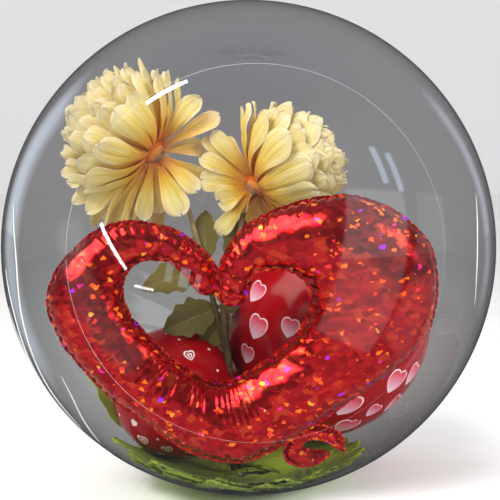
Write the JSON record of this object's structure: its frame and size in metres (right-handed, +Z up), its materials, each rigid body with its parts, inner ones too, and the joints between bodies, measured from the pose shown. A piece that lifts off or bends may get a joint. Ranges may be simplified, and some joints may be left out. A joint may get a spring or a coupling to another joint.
{
  "type": "clear bubble balloon",
  "caption": "Sealed clear film balloon on a small flat rest spot, its neck gathered behind in an elastic band, with silk flowers, a foil heart and small red balloons inside.",
  "frame": {"origin": "centre of the flat rest spot at the underside of the bubble", "axes": "+Z up, +Y from the front towards the tied neck at the back, +X to the right seen from the front"},
  "size_m": [0.4498, 0.498, 0.4472],
  "materials": {
    "film": "clear stretched plastic film, glossy",
    "elastic": "cloudy clear elastic",
    "foil": "crinkled red holographic foil",
    "latex": "stretched glossy latex with printed hearts",
    "petal": "pale yellow silk",
    "leaf": "green silk, veined",
    "stem": "matte moulded green"
  },
  "bodies": {
    "root": {"bubble": "film", "neck_band": "elastic"}
  },
  "joints": []
}
